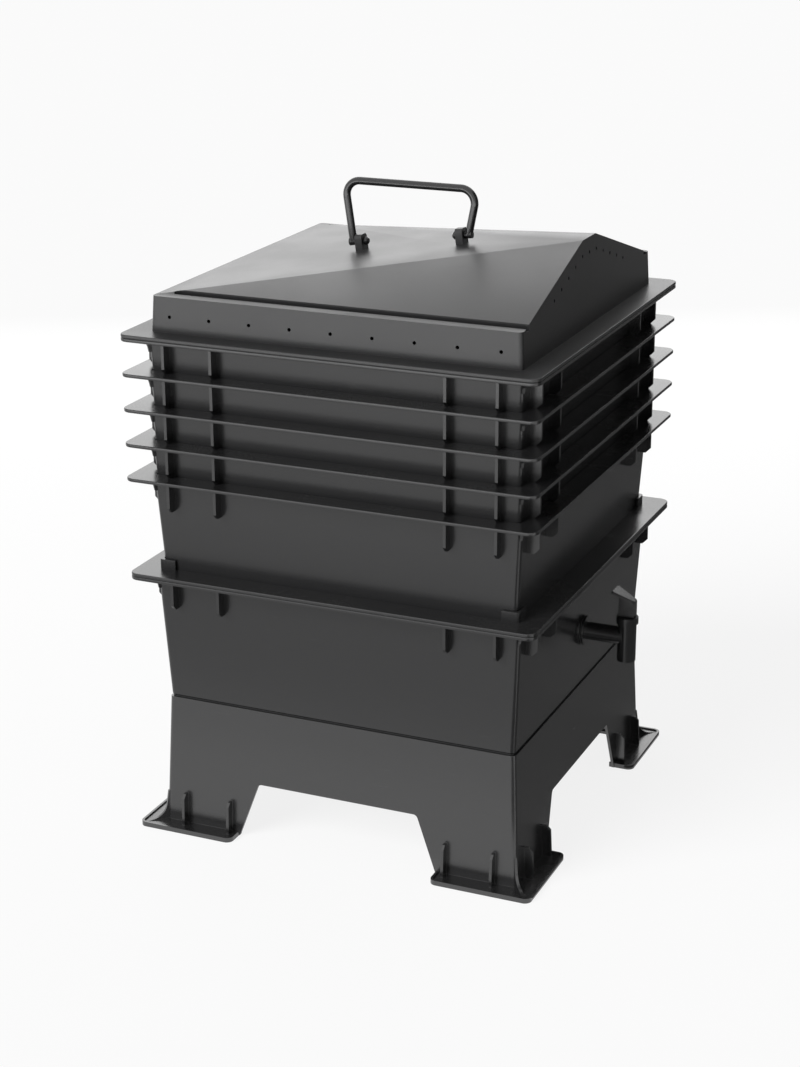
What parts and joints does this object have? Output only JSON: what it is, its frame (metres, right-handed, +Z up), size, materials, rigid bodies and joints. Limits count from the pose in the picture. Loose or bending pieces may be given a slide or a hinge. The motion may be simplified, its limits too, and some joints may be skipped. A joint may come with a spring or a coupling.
{
  "type": "compost bin",
  "caption": "Square stacking worm composter: arched stand, liquid collector with a lever tap, nested slotted trays and a vented sloping lid with a bail handle.",
  "frame": {"origin": "on the floor, on the stack's vertical axis, midway between the four foot plates", "axes": "+Z up along the stack, +X towards the tap and the lid's tall gable, -Y the front"},
  "size_m": [0.4533, 0.42, 0.6354],
  "materials": {
    "stack_plastic": "satin moulded black",
    "fitting_plastic": "smooth moulded black",
    "seal_rubber": "matt"
  },
  "bodies": {
    "stand_body": {"stand": "stack_plastic"},
    "collector_body": {"collector": "stack_plastic", "tap_body": "fitting_plastic", "tap_bonnet": "fitting_plastic", "tap_outer_seal": "seal_rubber", "tap_inner_seal": "seal_rubber", "tap_lock_nut": "fitting_plastic"},
    "sieve_body": {"sieve_plate": "stack_plastic"},
    "tray_5_body": {"tray_5": "stack_plastic"},
    "tray_4_body": {"tray_4": "stack_plastic"},
    "tray_3_body": {"tray_3": "stack_plastic"},
    "tray_2_body": {"tray_2": "stack_plastic"},
    "tray_1_body": {"tray_1": "stack_plastic"},
    "lid_body": {"lid": "stack_plastic"},
    "handle_body": {"lid_handle": "fitting_plastic", "handle_cap_left": "fitting_plastic", "handle_cap_right": "fitting_plastic"},
    "plug_body": {"tap_plug": "fitting_plastic", "plug_ring": "seal_rubber"}
  },
  "joints": [
    {"name": "collector_lift", "type": "slide", "parent": "stand_body", "child": "collector_body", "axis": [0, 0, 1], "range_m": [0, 0.05]},
    {"name": "sieve_lift", "type": "slide", "parent": "collector_body", "child": "sieve_body", "axis": [0, 0, 1], "range_m": [0, 0.05]},
    {"name": "tray_5_lift", "type": "slide", "parent": "sieve_body", "child": "tray_5_body", "axis": [0, 0, 1], "range_m": [0, 0.05]},
    {"name": "tray_4_lift", "type": "slide", "parent": "tray_5_body", "child": "tray_4_body", "axis": [0, 0, 1], "range_m": [0, 0.11]},
    {"name": "tray_3_lift", "type": "slide", "parent": "tray_4_body", "child": "tray_3_body", "axis": [0, 0, 1], "range_m": [0, 0.11]},
    {"name": "tray_2_lift", "type": "slide", "parent": "tray_3_body", "child": "tray_2_body", "axis": [0, 0, 1], "range_m": [0, 0.11]},
    {"name": "tray_1_lift", "type": "slide", "parent": "tray_2_body", "child": "tray_1_body", "axis": [0, 0, 1], "range_m": [0, 0.11]},
    {"name": "lid_lift", "type": "slide", "parent": "tray_1_body", "child": "lid_body", "axis": [0, 0, 1], "range_m": [0, 0.15]},
    {"name": "handle_swing", "type": "hinge", "parent": "lid_body", "child": "handle_body", "pos_m": [0, 0, 0.57934], "axis": [0.9911, 0, 0.1331], "range_deg": [-93, 93]},
    {"name": "plug_turn", "type": "hinge", "parent": "collector_body", "child": "plug_body", "pos_m": [0.2323, 0, 0.198], "axis": [0, 0, 1], "range_deg": [0, 90]}
  ]
}
